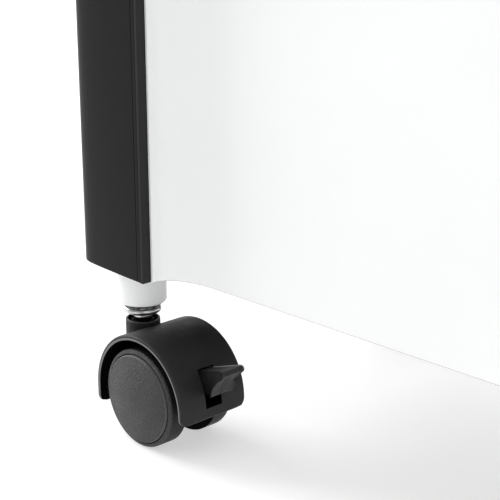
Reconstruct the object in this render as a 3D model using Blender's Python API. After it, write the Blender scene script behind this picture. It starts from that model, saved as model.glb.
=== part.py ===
"""Oil filled radiator heater: a finned oil core in a white steel case, on four braked casters.

X is the long axis, Y the width, Z up; the floor is z = 0 and the origin is under the middle of the heater.
Lengths below are millimetres; make_object() turns them into metres.
"""

import math

import bmesh
import bpy

TO_METRES = 0.001
GAP = 0.4

# Case
HALF_LENGTH = 245.0
HALF_WIDTH = 130.0
CASE_BOTTOM = 89.2
COVER_TOP = 640.0
COVER_WALL = 2.6
COVER_FLOOR = 3.0
COVER_DEPTH = 55.4
COVER_LIP = 120.0
PANEL_Y = 110.0
PANEL_SHEET = 1.2
PANEL_TOP = 638.0
COVE_START_X = 161.7
COVE_LENGTH = 26.3
COVE_DEPTH = 12.6
LIP_X = COVE_START_X + COVE_LENGTH
LIP_END_Y = 125.1
COVE_STEPS = 8
GRILLE_TOP = 635.6
GRILLE_SHEET = 3.0
GRILLE_ROWS = 11
GRILLE_PITCH = 18.0
SLOT_LENGTH = 104.0
SLOT_WIDTH = 9.0
SLOT_SPACING = 112.0

# Hand grips in the end covers
GRIP_HALF_Y = 49.0
GRIP_LOW = 572.0
GRIP_HIGH = 602.0
GRIP_DEPTH = 22.0

# Foot plates and core brackets
PLATE_LOW = 92.6
PLATE_SHEET = 2.6
PLATE_TOP = PLATE_LOW + PLATE_SHEET
PLATE_HALF_Y = 115.0
BOSS_TOP = 106.0
BRACKET_X = 170.5
BRACKET_SHEET = 1.5
BRACKET_TOP = 604.0
BRACKET_HALF_Y = 107.9
SCREW_X = 205.0
SCREW_Y = 60.0

# Oil core
FIN_COUNT = 7
FIN_PITCH = 50.0
FIN_THICKNESS = 9.0
FIN_HALF_Y = 85.0
FIN_LOW = 118.0
FIN_HIGH = 602.0
HEADER_R = 17.0
HEADER_END = 176.0
HEADER_LOW_Z = 150.0
HEADER_HIGH_Z = 570.0
ELEMENT_BORE_R = 11.5
ELEMENT_R = 3.5
ELEMENT_BEND_R = 5.5

# Controls, in the top of the right end cover
CONTROL_X = 217.0
KNOB_Y = -44.0
KNOB_R = 20.0
SWITCH_YS = (8.0, 40.0)
LENS_Y = 68.0
GLAND_X = 228.0

# Casters
STEM_X = 221.5
STEM_Y = 105.0
STEM_R = 4.0
COLLAR_R = 12.6
COLLAR_LOW = 67.6
TRAIL = 20.2
WHEEL_R = 25.4
WHEEL_INNER = 9.6
WHEEL_RIM = 20.6
AXLE_R = 2.85
AXLE_HALF = 18.0
HOOD_CENTRE = (TRAIL + 0.4, 24.7)
HOOD_R = 33.7
HOOD_WALL = 2.8
HOOD_HALF_WIDTH = 21.2
HOOD_WEB = 8.2
HOOD_FRONT_LOW = 20.2
HOOD_REAR_LOW = 13.8
NECK_R = 8.9
NECK_TOP = 58.6
BRAKE_SLOT_HALF = 4.9
BRAKE_SLOT_LOW = 26.0
BRAKE_SLOT_HIGH = 44.7
BRAKE_PIVOT = (25.6, 11.0)
BRAKE_ROOT_R = 26.4
BRAKE_HALF_WIDTH = 4.4

COLOURS = {
    "white_steel": ((0.86, 0.87, 0.87), 0.0, 0.35),
    "black_gloss": ((0.02, 0.02, 0.022), 0.0, 0.15),
    "black_matte": ((0.035, 0.035, 0.037), 0.0, 0.6),
    "zinc": ((0.75, 0.76, 0.78), 1.0, 0.25),
    "steel": ((0.55, 0.56, 0.58), 1.0, 0.4),
    "core_paint": ((0.62, 0.62, 0.6), 0.0, 0.5),
    "red_lens": ((0.7, 0.03, 0.02), 0.0, 0.1),
    "brass": ((0.75, 0.58, 0.3), 1.0, 0.3),
    "cream_plastic": ((0.8, 0.77, 0.68), 0.0, 0.5),
}


def material(kind):
    found = bpy.data.materials.get(kind)
    if found:
        return found
    colour, metallic, roughness = COLOURS[kind]
    made = bpy.data.materials.new(kind)
    made.use_nodes = True
    shader = made.node_tree.nodes["Principled BSDF"]
    shader.inputs["Base Color"].default_value = (*colour, 1.0)
    shader.inputs["Metallic"].default_value = metallic
    shader.inputs["Roughness"].default_value = roughness
    return made


def outward(mesh):
    """The mesh with every face turned to point out of the solid."""
    bmesh.ops.recalc_face_normals(mesh, faces=mesh.faces)
    if mesh.calc_volume(signed=True) < 0.0:
        bmesh.ops.reverse_faces(mesh, faces=mesh.faces)
    return mesh


def placed(axis, across, along, depth):
    """A point from its two coordinates across an axis and its place along it."""
    return {
        "X": (depth, across, along),
        "Y": (across, depth, along),
        "Z": (across, along, depth),
    }[axis]


def prism(outline, low, high, axis="Z", bevel=0.0, segments=2):
    """A closed extrusion of a plane outline along an axis; bevel rounds the edges of both ends."""
    mesh = bmesh.new()
    ends = []
    for depth in (low, high):
        loop = [mesh.verts.new(placed(axis, a, b, depth)) for a, b in outline]
        ends.append(mesh.faces.new(loop))
    first, last = ends[0].verts, ends[1].verts
    for i in range(len(outline)):
        j = (i + 1) % len(outline)
        mesh.faces.new((first[i], first[j], last[j], last[i]))
    outward(mesh)
    if bevel:
        edges = {edge for end in ends for edge in end.edges}
        bmesh.ops.bevel(
            mesh,
            geom=list(edges),
            offset=bevel,
            segments=segments,
            profile=0.5,
            affect="EDGES",
        )
    return mesh


def box(x, y, z):
    outline = [(x[0], y[0]), (x[1], y[0]), (x[1], y[1]), (x[0], y[1])]
    return prism(outline, z[0], z[1])


def circle(centre, radius, steps, start=0.0, turn=360.0):
    count = steps if turn == 360.0 else steps + 1
    angles = [math.radians(start + turn * i / steps) for i in range(count)]
    return [
        (centre[0] + radius * math.cos(a), centre[1] + radius * math.sin(a))
        for a in angles
    ]


def rod(radius, low, high, centre=(0.0, 0.0), axis="Z", steps=20):
    return prism(circle(centre, radius, steps, start=-90.0), low, high, axis)


def lathe(profile, centre, axis="Z", steps=24):
    """A solid turned from (radius, place along the axis) points; radius 0 closes on the axis."""
    mesh = bmesh.new()
    rings = []
    for radius, depth in profile:
        if radius == 0.0:
            rings.append([mesh.verts.new(placed(axis, *centre, depth))])
            continue
        ring = circle(centre, radius, steps, start=-90.0)
        rings.append([mesh.verts.new(placed(axis, a, b, depth)) for a, b in ring])
    for one, two in zip(rings, rings[1:] + rings[:1]):
        if len(one) == 1 and len(two) == 1:
            continue
        for i in range(steps):
            j = (i + 1) % steps
            corners = [one[i % len(one)], one[j % len(one)]]
            corners += [two[j % len(two)], two[i % len(two)]]
            mesh.faces.new(list(dict.fromkeys(corners)))
    return outward(mesh)


def sweep_xz(path, radius, y, steps=10):
    """A round bar along a path in a plane of constant y."""
    mesh = bmesh.new()
    rings = []
    for i, (x, z) in enumerate(path):
        before, after = path[max(i - 1, 0)], path[min(i + 1, len(path) - 1)]
        run = math.hypot(after[0] - before[0], after[1] - before[1])
        nx, nz = -(after[1] - before[1]) / run, (after[0] - before[0]) / run
        ring = []
        for k in range(steps):
            a = 2 * math.pi * k / steps
            side, rise = radius * math.cos(a), radius * math.sin(a)
            ring.append(mesh.verts.new((x + nx * rise, y + side, z + nz * rise)))
        rings.append(ring)
    mesh.faces.new(rings[0])
    mesh.faces.new(rings[-1])
    for one, two in zip(rings, rings[1:]):
        for k in range(steps):
            m = (k + 1) % steps
            mesh.faces.new((one[k], one[m], two[m], two[k]))
    return outward(mesh)


def facing(mesh, side):
    """A piece made for the -Y side of the case, carried to the side -1 or +1."""
    for vert in mesh.verts:
        vert.co.y *= -side
    return outward(mesh)


def merged(meshes):
    """Separate cutters held in one mesh."""
    whole = bmesh.new()
    for mesh in meshes:
        data = bpy.data.meshes.new("tool")
        mesh.to_mesh(data)
        whole.from_mesh(data)
        mesh.free()
        bpy.data.meshes.remove(data)
    return whole


def raw_object(name, mesh):
    data = bpy.data.meshes.new(name)
    mesh.to_mesh(data)
    mesh.free()
    made = bpy.data.objects.new(name, data)
    bpy.context.scene.collection.objects.link(made)
    return made


def combined(base, steps):
    """The base mesh after each (operation, mesh) in turn, as a new bmesh."""
    body = raw_object("body", base)
    for operation, mesh in steps:
        tool = raw_object("tool", mesh)
        change = body.modifiers.new("change", "BOOLEAN")
        change.operation = operation
        change.solver = "EXACT"
        change.object = tool
        bpy.context.view_layer.update()
        graph = bpy.context.evaluated_depsgraph_get()
        after = bpy.data.meshes.new_from_object(body.evaluated_get(graph))
        body.modifiers.clear()
        old, body.data = body.data, after
        bpy.data.meshes.remove(old)
        bpy.data.objects.remove(tool, do_unlink=True)
    result = bmesh.new()
    result.from_mesh(body.data)
    bmesh.ops.remove_doubles(result, verts=result.verts, dist=1e-4)
    bpy.data.objects.remove(body, do_unlink=True)
    return result


def make_object(name, mesh, kind, origin=(0.0, 0.0, 0.0), smooth=35.0):
    """One named piece in metres, with its own origin; smooth is the sharpest angle still shaded round."""
    for vert in mesh.verts:
        vert.co = (vert.co - type(vert.co)(origin)) * TO_METRES
    made = raw_object(name, mesh)
    made.location = [c * TO_METRES for c in origin]
    made.data.materials.append(material(kind))
    if smooth:
        made.data.shade_smooth()
        made.data.set_sharp_from_angle(angle=math.radians(smooth))
    return made


# Case ---------------------------------------------------------------------


def panel_path():
    """The outer surface of the -Y side panel in plan, from its left lip to its right lip."""
    left = [(-LIP_X, -LIP_END_Y)]
    cove_y = -PANEL_Y - COVE_DEPTH
    for i in range(COVE_STEPS + 1):
        turn = math.pi / 2 * i / COVE_STEPS
        x = -COVE_START_X - COVE_LENGTH * math.cos(turn)
        left.append((x, cove_y + COVE_DEPTH * math.sin(turn)))
    return left + [(-x, y) for x, y in reversed(left)]


def inward(path, distance):
    """The path moved towards the inside of the case."""
    moved = []
    for i, (x, y) in enumerate(path):
        before, after = path[max(i - 1, 0)], path[min(i + 1, len(path) - 1)]
        run = math.hypot(after[0] - before[0], after[1] - before[1])
        nx, ny = -(after[1] - before[1]) / run, (after[0] - before[0]) / run
        moved.append((x + nx * distance, y + ny * distance))
    return moved


def side_panel(name, side):
    path = panel_path()
    outline = path + inward(path, PANEL_SHEET)[::-1]
    sheet = prism(outline, CASE_BOTTOM, PANEL_TOP)
    hem_y = (-PANEL_Y + PANEL_SHEET / 2, -PANEL_Y + 10.0)
    low = box((-155.0, 155.0), hem_y, (CASE_BOTTOM + 0.2, CASE_BOTTOM + 1.4))
    whole = combined(sheet, [("UNION", low)])
    make_object(name, facing(whole, side), "white_steel", smooth=25.0)


def cover_outline():
    """Half of an end cover's outer outline, as (distance from its end, distance from the middle)."""
    return [
        (COVER_DEPTH, COVER_LIP),
        (COVER_DEPTH, HALF_WIDTH - 0.8),
        (COVER_DEPTH - 1.1, HALF_WIDTH),
        (COVER_DEPTH - 4.2, HALF_WIDTH - 0.35),
        (32.0, HALF_WIDTH - 1.4),
        (14.0, HALF_WIDTH - 2.7),
        (6.0, HALF_WIDTH - 4.0),
        (3.0, HALF_WIDTH - 5.4),
        (1.0, HALF_WIDTH - 7.8),
        (0.0, HALF_WIDTH - 11.5),
    ]


def cover_cavity():
    half = [(COVER_DEPTH + 6.0, COVER_LIP), (COVER_DEPTH - COVER_WALL, COVER_LIP)]
    half.append((COVER_DEPTH - COVER_WALL, HALF_WIDTH - 2.8))
    for depth, y in cover_outline()[4:-2]:
        half.append((depth + 1.6, y - COVER_WALL))
    half.append((COVER_WALL, HALF_WIDTH - 14.0))
    return half


def both_halves(half, side):
    """The plan outline of an end piece on the side -1 or +1, from its half outline."""
    points = [(side * (HALF_LENGTH - d), -y) for d, y in half]
    return points + [(x, -y) for x, y in reversed(points)]


def end_cover(name, side):
    solid = prism(both_halves(cover_outline(), side), CASE_BOTTOM, COVER_TOP, bevel=0.9)
    hollow = prism(
        both_halves(cover_cavity(), side),
        CASE_BOTTOM + COVER_FLOOR,
        COVER_TOP - COVER_FLOOR - 0.2,
    )
    floor = (CASE_BOTTOM - 5.0, CASE_BOTTOM + COVER_FLOOR + 2.0)
    holes = [
        rod(4.6, *floor, (side * STEM_X, y), steps=16) for y in (-STEM_Y, STEM_Y)
    ]
    holes += [
        rod(2.1, *floor, (side * SCREW_X, y), steps=12) for y in (-SCREW_Y, SCREW_Y)
    ]
    wall = sorted((side * (HALF_LENGTH + 5.0), side * (HALF_LENGTH - 5.0)))
    holes.append(box(wall, (-GRIP_HALF_Y, GRIP_HALF_Y), (GRIP_LOW, GRIP_HIGH)))
    if side > 0:
        top = (COVER_TOP - 10.0, COVER_TOP + 5.0)
        holes.append(rod(4.6, *top, (CONTROL_X, KNOB_Y), steps=16))
        holes.append(rod(4.5, *top, (CONTROL_X, LENS_Y), steps=16))
        for y in SWITCH_YS:
            holes.append(box((CONTROL_X - 11.8, CONTROL_X + 11.8), (y - 7.2, y + 7.2), top))
        holes.append(rod(8.5, *floor, (GLAND_X, 0.0), steps=16))
    whole = combined(solid, [("DIFFERENCE", hollow), ("DIFFERENCE", merged(holes))])
    make_object(name, whole, "black_gloss", smooth=40.0)


def grip_cup(name, side):
    end = side * HALF_LENGTH

    def span(near, far):
        return sorted((end - side * near, end - side * far))

    tub_y, tub_z = GRIP_HALF_Y - GAP, (GRIP_LOW + GAP, GRIP_HIGH - GAP)
    tub = box(span(0.0, GRIP_DEPTH + 2.0), (-tub_y, tub_y), tub_z)
    rim = box(
        span(COVER_WALL + GAP, COVER_WALL + GAP + 2.4),
        (-GRIP_HALF_Y - 3.4, GRIP_HALF_Y + 3.4),
        (GRIP_LOW - 3.4, GRIP_HIGH + 3.4),
    )
    pocket = box(
        span(-4.0, GRIP_DEPTH),
        (-GRIP_HALF_Y + 3.0, GRIP_HALF_Y - 3.0),
        (GRIP_LOW + 3.0, GRIP_HIGH - 3.0),
    )
    whole = combined(tub, [("UNION", rim), ("DIFFERENCE", pocket)])
    make_object(name, whole, "black_matte", smooth=0.0)


def top_grille():
    path = inward(panel_path(), PANEL_SHEET + GAP)
    edge = [(x, y) for x, y in path if -y < COVER_LIP - 1.5]
    front = [(-198.0, -COVER_LIP + 1.5), (-LIP_X - 0.2, -COVER_LIP + 1.5)]
    front += edge + [(-x, y) for x, y in reversed(front)]
    outline = front + [(x, -y) for x, y in reversed(front)]
    sheet = prism(outline, GRILLE_TOP - GRILLE_SHEET, GRILLE_TOP)
    middle = (GRILLE_ROWS - 1) / 2
    slots = []
    for column in (-1, 0, 1):
        x = column * SLOT_SPACING
        for row in range(GRILLE_ROWS):
            y = (row - middle) * GRILLE_PITCH
            slots.append(
                box(
                    (x - SLOT_LENGTH / 2, x + SLOT_LENGTH / 2),
                    (y - SLOT_WIDTH / 2, y + SLOT_WIDTH / 2),
                    (GRILLE_TOP - GRILLE_SHEET - 2.0, GRILLE_TOP + 2.0),
                )
            )
    whole = combined(sheet, [("DIFFERENCE", merged(slots))])
    make_object("top_grille", whole, "white_steel", smooth=0.0)


# Frame and core -----------------------------------------------------------


def foot_plate(name, side):
    inner = PLATE_HALF_Y - 10.0
    half = [(77.0, inner), (51.0, inner), (51.0, PLATE_HALF_Y), (3.6, PLATE_HALF_Y)]
    plate = prism(both_halves(half, side), PLATE_LOW, PLATE_TOP)
    steps = []
    for y in (-STEM_Y, STEM_Y):
        steps.append(
            ("UNION", rod(9.0, PLATE_TOP - 1.0, BOSS_TOP, (side * STEM_X, y), steps=16))
        )
    through = (PLATE_LOW - 3.0, BOSS_TOP + 3.0)
    holes = [
        rod(4.4, *through, (side * STEM_X, y), steps=16) for y in (-STEM_Y, STEM_Y)
    ]
    holes += [
        rod(2.1, *through, (side * SCREW_X, y), steps=12) for y in (-SCREW_Y, SCREW_Y)
    ]
    if side > 0:
        holes.append(rod(8.5, *through, (GLAND_X, 0.0), steps=16))
    steps.append(("DIFFERENCE", merged(holes)))
    make_object(name, combined(plate, steps), "steel")


def core_bracket(name, side):
    web, edge = BRACKET_X + BRACKET_SHEET, BRACKET_HALF_Y
    flange = edge - BRACKET_SHEET
    half = [(web, edge), (150.0, edge), (150.0, flange), (BRACKET_X, flange)]
    outline = [(side * x, -y) for x, y in half]
    outline += [(x, -y) for x, y in reversed(outline)]
    sheet = prism(outline, PLATE_TOP + GAP, BRACKET_TOP)
    ends = sorted((side * (BRACKET_X - 5.0), side * (web + 5.0)))
    holes = [
        rod(HEADER_R + GAP, *ends, (0.0, z), "X", 20)
        for z in (HEADER_LOW_Z, HEADER_HIGH_Z)
    ]
    whole = combined(sheet, [("DIFFERENCE", merged(holes))])
    make_object(name, whole, "steel")


def oil_core():
    corner = 28.0
    y, low, high = FIN_HALF_Y - corner, FIN_LOW + corner, FIN_HIGH - corner
    outline = circle((y, low), corner, 3, -90.0, 90.0)
    outline += circle((y, high), corner, 3, 0.0, 90.0)
    outline += circle((-y, high), corner, 3, 90.0, 90.0)
    outline += circle((-y, low), corner, 3, 180.0, 90.0)
    middle = (FIN_COUNT - 1) / 2
    fins = []
    for i in range(FIN_COUNT):
        x = (i - middle) * FIN_PITCH
        fins.append(prism(outline, x - FIN_THICKNESS / 2, x + FIN_THICKNESS / 2, "X"))
    headers = [
        rod(HEADER_R, -HEADER_END, HEADER_END, (0.0, z), "X", 16)
        for z in (HEADER_LOW_Z, HEADER_HIGH_Z)
    ]
    bores = [
        rod(ELEMENT_BORE_R, -140.0, HEADER_END + 5.0, (0.0, HEADER_LOW_Z), "X", 16),
        rod(6.4, -HEADER_END - 5.0, -HEADER_END + 15.0, (0.0, HEADER_HIGH_Z), "X", 12),
    ]
    whole = combined(
        merged(fins), [("UNION", merged(headers)), ("DIFFERENCE", merged(bores))]
    )
    make_object("oil_core", whole, "core_paint")


def heater_parts():
    bend_x, end_x = -120.0, HEADER_END + 12.0
    arc = circle((bend_x, HEADER_LOW_Z), ELEMENT_BEND_R, 6, 90.0, 180.0)
    path = [(end_x, HEADER_LOW_Z + ELEMENT_BEND_R)] + arc
    path.append((end_x, HEADER_LOW_Z - ELEMENT_BEND_R))
    make_object("heating_element", sweep_xz(path, ELEMENT_R, 0.0, 8), "zinc")
    face = HEADER_END + GAP
    disc = rod(HEADER_R + 2.0, face, face + 4.6, (0.0, HEADER_LOW_Z), "X", 24)
    holes = [
        rod(ELEMENT_R + GAP, face - 3.0, face + 9.0, (0.0, HEADER_LOW_Z + dz), "X", 12)
        for dz in (-ELEMENT_BEND_R, ELEMENT_BEND_R)
    ]
    whole = combined(disc, [("DIFFERENCE", merged(holes))])
    make_object("element_flange", whole, "brass")
    plug = [(0.0, -face - 6.0), (8.0, -face - 6.0), (9.0, -face - 5.0), (9.0, -face)]
    plug += [(6.0, -face), (6.0, -face + 12.0), (0.0, -face + 12.0)]
    centre = (0.0, HEADER_HIGH_Z)
    make_object("oil_filler_plug", lathe(plug, centre, "X", 12), "brass")


def electrical_parts():
    web = BRACKET_X + BRACKET_SHEET + GAP
    cutout = [(0.0, web), (9.0, web), (9.0, web + 3.0), (6.5, web + 4.0)]
    cutout += [(6.5, web + 7.0), (0.0, web + 7.0)]
    make_object("thermal_cutout", lathe(cutout, (40.0, 300.0), "X", 16), "zinc")

    block = box((web, web + 13.0), (-20.0, 20.0), (200.0, 222.0))
    notches = [
        box((web + 6.0, web + 15.0), (y - 1.5, y + 1.5), (198.0, 224.0))
        for y in (-10.0, 0.0, 10.0)
    ]
    whole = combined(block, [("DIFFERENCE", merged(notches))])
    make_object("terminal_block", whole, "cream_plastic", smooth=0.0)

    tip = box((196.0, 214.0), (-10.0, 10.0), (PLATE_TOP + GAP, 120.0))
    make_object("tip_over_switch", tip, "cream_plastic", smooth=0.0)

    floor = CASE_BOTTOM - 0.3
    gland = [(3.6, floor - 2.6), (8.6, floor - 2.6), (10.5, floor - 1.2)]
    gland += [(10.5, floor), (8.0, floor), (8.0, 101.0), (3.6, 101.0)]
    make_object("cord_gland", lathe(gland, (GLAND_X, 0.0), steps=20), "black_matte")


def controls():
    under = COVER_TOP - COVER_FLOOR - 0.2 - GAP
    body = box(
        (CONTROL_X - 14.0, CONTROL_X + 14.0), (KNOB_Y - 14.0, KNOB_Y + 14.0), (606.0, under)
    )
    bore = rod(3.4, 622.0, under + 3.0, (CONTROL_X, KNOB_Y), steps=16)
    whole = combined(body, [("DIFFERENCE", bore)])
    make_object("thermostat", whole, "cream_plastic")

    skirt = COVER_TOP + GAP
    knob = [(0.0, 624.0), (3.0, 624.0), (3.0, skirt), (KNOB_R, skirt)]
    knob += [(KNOB_R, skirt + 3.0), (KNOB_R - 1.0, skirt + 4.0)]
    knob += [(KNOB_R - 3.0, skirt + 4.4), (KNOB_R - 4.0, skirt + 12.5)]
    knob += [(KNOB_R - 5.5, skirt + 14.0), (0.0, skirt + 14.0)]
    turned = lathe(knob, (CONTROL_X, KNOB_Y), steps=24)
    grip = box(
        (CONTROL_X - 2.5, CONTROL_X + 2.5), (KNOB_Y - 14.0, KNOB_Y + 14.0), (skirt + 10.0, 658.0)
    )
    whole = combined(turned, [("UNION", grip)])
    origin = (CONTROL_X, KNOB_Y, skirt)
    make_object("thermostat_knob", whole, "black_gloss", origin)

    for tag, y in zip(("low", "high"), SWITCH_YS):
        switch(tag, y)

    lens = [(0.0, 628.0), (4.0, 628.0), (4.0, skirt), (5.6, skirt), (5.6, skirt + 0.8)]
    lens += [(4.2, skirt + 1.9), (2.2, skirt + 2.5), (0.0, skirt + 2.7)]
    make_object("indicator_lens", lathe(lens, (CONTROL_X, LENS_Y), steps=20), "red_lens")


def switch(tag, y):
    """A rocker switch in a window of the cover; the rocker rests tipped to its off side."""
    skirt = COVER_TOP + GAP
    x = CONTROL_X
    body = box((x - 11.4, x + 11.4), (y - 6.8, y + 6.8), (614.0, skirt + 0.8))
    bezel = box((x - 13.4, x + 13.4), (y - 8.8, y + 8.8), (skirt, skirt + 1.4))
    well = box((x - 9.9, x + 9.9), (y - 5.2, y + 5.2), (628.0, skirt + 4.0))
    whole = combined(body, [("UNION", bezel), ("DIFFERENCE", well)])
    make_object(f"switch_housing_{tag}", whole, "black_matte", smooth=0.0)

    pivot_z, tip = 636.0, math.radians(8.0)
    shape = [(-8.5, 7.0), (-6.0, -1.0), (0.0, -3.0), (6.0, -1.0), (8.5, 7.0)]
    shape += [(4.5, 5.6), (0.0, 5.0), (-4.5, 5.6)]
    turned = []
    for a, b in shape:
        turned.append(
            (
                x + a * math.cos(tip) + b * math.sin(tip),
                pivot_z - a * math.sin(tip) + b * math.cos(tip),
            )
        )
    rocker = prism(turned, y - 4.8, y + 4.8, "Y")
    make_object(f"switch_rocker_{tag}", rocker, "black_gloss", (x, y, pivot_z), 0.0)


def cover_screws():
    for end, x in (("left", -SCREW_X), ("right", SCREW_X)):
        for face, y in (("front", -SCREW_Y), ("back", SCREW_Y)):
            low = CASE_BOTTOM - 0.3
            screw = [(0.0, low - 2.2), (2.4, low - 2.0), (3.6, low - 0.6), (3.6, low)]
            screw += [(1.7, low), (1.7, 99.0), (0.0, 100.5)]
            name = f"cover_screw_{end}_{face}"
            make_object(name, lathe(screw, (x, y), steps=12), "zinc")


# Casters ------------------------------------------------------------------


def hood_mesh():
    """The caster's hood about its stem: x = 0, y = 0 is the stem, and the axle is at x = TRAIL."""
    middle_x, middle_z = HOOD_CENTRE
    rear, front = middle_x - HOOD_R, middle_x + HOOD_R
    outer = [(rear + 2.4, HOOD_REAR_LOW), (rear + 0.6, HOOD_REAR_LOW + 1.4)]
    outer += circle(HOOD_CENTRE, HOOD_R, 16, 180.0, -180.0)
    outer += [(front - 0.3, HOOD_FRONT_LOW + 0.4), (front - HOOD_WALL, HOOD_FRONT_LOW)]
    shell = prism(outer, -HOOD_HALF_WIDTH, HOOD_HALF_WIDTH, "Y", bevel=0.9, segments=1)
    inner_r = HOOD_R - HOOD_WALL
    bay = circle(HOOD_CENTRE, inner_r, 16, 180.0, -180.0)
    bay = [(middle_x - inner_r, -5.0)] + bay + [(middle_x + inner_r, -5.0)]
    bays = [
        prism(bay, -HOOD_HALF_WIDTH - 3.0, -HOOD_WEB, "Y"),
        prism(bay, HOOD_WEB, HOOD_HALF_WIDTH + 3.0, "Y"),
    ]
    slot = box(
        (TRAIL + 19.0, front + 5.0),
        (-BRAKE_SLOT_HALF, BRAKE_SLOT_HALF),
        (BRAKE_SLOT_LOW, BRAKE_SLOT_HIGH),
    )
    neck = rod(NECK_R, 34.0, NECK_TOP, steps=16)
    stem_bore = rod(STEM_R + 0.35, NECK_TOP - 8.9, NECK_TOP + 4.0, steps=12)
    recess = rod(7.2, NECK_TOP - 3.2, NECK_TOP + 4.0, steps=16)
    axle = (TRAIL, WHEEL_R)
    axle_bore = rod(AXLE_R + 0.3, -HOOD_WEB - 3.0, HOOD_WEB + 3.0, axle, "Y", 12)
    steps = [("UNION", neck)]
    for cutter in (merged(bays), slot, stem_bore, recess, axle_bore):
        steps.append(("DIFFERENCE", cutter))
    return combined(shell, steps)


def wheel_mesh(side):
    bore = AXLE_R + 0.3
    profile = [
        (bore, WHEEL_INNER),
        (WHEEL_R - 0.8, WHEEL_INNER),
        (WHEEL_R, WHEEL_INNER + 0.9),
        (WHEEL_R, WHEEL_RIM - 2.6),
        (WHEEL_R - 0.7, WHEEL_RIM - 0.6),
        (WHEEL_R - 1.7, WHEEL_RIM),
        (WHEEL_R - 2.1, WHEEL_RIM - 0.4),
        (WHEEL_R - 2.6, WHEEL_RIM),
        (14.0, WHEEL_RIM + 2.4),
        (0.0, WHEEL_RIM + 3.3),
        (0.0, AXLE_HALF + 0.4),
        (bore, AXLE_HALF + 0.4),
    ]
    turned = [(r, side * y) for r, y in profile]
    return lathe(turned, (TRAIL, WHEEL_R), "Y", 24)


def brake_mesh():
    """The brake lever in its raised, free position: a wedge whose root stands in the hood's slot.

    Each point of its side view is (forward of the axle, above the axle, half width there).
    """
    half = BRAKE_HALF_WIDTH
    root = circle((0.0, 0.0), BRAKE_ROOT_R, 4, 13.0, 25.0)
    neck = [(31.5, 19.3), (34.9, 8.6)]
    side_view = [(x, z, half) for x, z in root]
    side_view += [(29.5, 18.7, half), (*neck[0], half), (38.0, 21.3, 5.2)]
    side_view += [(45.2, 23.6, 6.2), (46.8, 23.9, 6.8), (47.9, 23.2, 6.9)]
    side_view += [(47.9, 22.0, 6.8), (47.2, 21.2, 6.4), (43.6, 15.2, 6.5)]
    side_view += [(39.9, 8.7, 7.2), (38.6, 8.5, 6.6), (*neck[1], half), (31.0, 8.0, half)]
    lever = prism([(x, z) for x, z, _ in side_view], -1.0, 1.0, "Y")

    def place(vert):
        return round(vert.co.x, 3), round(vert.co.z, 3)

    for end in [face for face in lever.faces if len(face.verts) > 4]:
        one, two = [vert for vert in end.verts if place(vert) in neck]
        bmesh.utils.face_split(end, one, two)
    widths = {(round(x, 3), round(z, 3)): width for x, z, width in side_view}
    for vert in lever.verts:
        vert.co.y *= widths[place(vert)]
        vert.co.x += TRAIL
        vert.co.z += WHEEL_R
    return lever


def stem_mesh():
    """The threaded stem with its nut and washer, as two rings just under the leg collar."""
    nut, ring, top = 9.1, 9.9, COLLAR_LOW - 0.7
    profile = [(0.0, NECK_TOP - 8.5), (STEM_R, NECK_TOP - 8.5), (STEM_R, top - 4.7)]
    profile += [(nut - 0.6, top - 4.7), (nut, top - 4.1), (nut, top - 2.6)]
    profile += [(ring, top - 2.0), (ring, top - 0.6), (ring - 0.6, top)]
    profile += [(STEM_R, top), (STEM_R, BOSS_TOP + 1.0), (0.0, BOSS_TOP + 1.0)]
    return lathe(profile, (0.0, 0.0), steps=16)


def collar_mesh():
    bore, top = STEM_R + 0.4, CASE_BOTTOM - 0.4
    profile = [(bore, COLLAR_LOW), (COLLAR_R - 1.8, COLLAR_LOW)]
    profile += [(COLLAR_R - 0.6, COLLAR_LOW + 0.5), (COLLAR_R, COLLAR_LOW + 1.8)]
    profile += [(COLLAR_R, top), (bore, top)]
    return lathe(profile, (0.0, 0.0), steps=24)


def moved(mesh, flip, x, y):
    """The mesh turned half a turn about the stem when flip is -1, then carried to the stem's place."""
    for vert in mesh.verts:
        vert.co.x = x + flip * vert.co.x
        vert.co.y = y + flip * vert.co.y
    return mesh


def caster(end, face, end_side, face_side):
    """One caster; its wheels trail towards the middle of the heater."""
    x, y, flip = end_side * STEM_X, face_side * STEM_Y, -end_side
    tag = f"{end}_{face}"
    axle = (x + flip * TRAIL, y, WHEEL_R)
    make_object(f"leg_collar_{tag}", moved(collar_mesh(), 1, x, y), "white_steel")
    make_object(f"caster_stem_{tag}", moved(stem_mesh(), 1, x, y), "zinc")
    hood = moved(hood_mesh(), flip, x, y)
    make_object(f"caster_hood_{tag}", hood, "black_matte", (x, y, NECK_TOP))
    pin = rod(AXLE_R, -AXLE_HALF, AXLE_HALF, (TRAIL, WHEEL_R), "Y", 12)
    make_object(f"caster_axle_{tag}", moved(pin, flip, x, y), "steel", axle)
    for where, side in (("outer", face_side), ("inner", -face_side)):
        wheel = moved(wheel_mesh(side * flip), flip, x, y)
        make_object(f"caster_wheel_{tag}_{where}", wheel, "black_matte", axle)
    lever = moved(brake_mesh(), flip, x, y)
    pivot = (x + flip * (TRAIL + BRAKE_PIVOT[0]), y, WHEEL_R + BRAKE_PIVOT[1])
    make_object(f"brake_lever_{tag}", lever, "black_matte", pivot)


def main():
    for old in list(bpy.data.objects):
        bpy.data.objects.remove(old, do_unlink=True)
    side_panel("side_panel_front", -1.0)
    side_panel("side_panel_back", 1.0)
    for end, side in (("left", -1), ("right", 1)):
        end_cover(f"end_cover_{end}", side)
        grip_cup(f"grip_cup_{end}", side)
        foot_plate(f"foot_plate_{end}", side)
        core_bracket(f"core_bracket_{end}", side)
    top_grille()
    oil_core()
    heater_parts()
    electrical_parts()
    controls()
    cover_screws()
    for end, end_side in (("left", -1), ("right", 1)):
        for face, face_side in (("front", -1), ("back", 1)):
            caster(end, face, end_side, face_side)


main()
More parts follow.
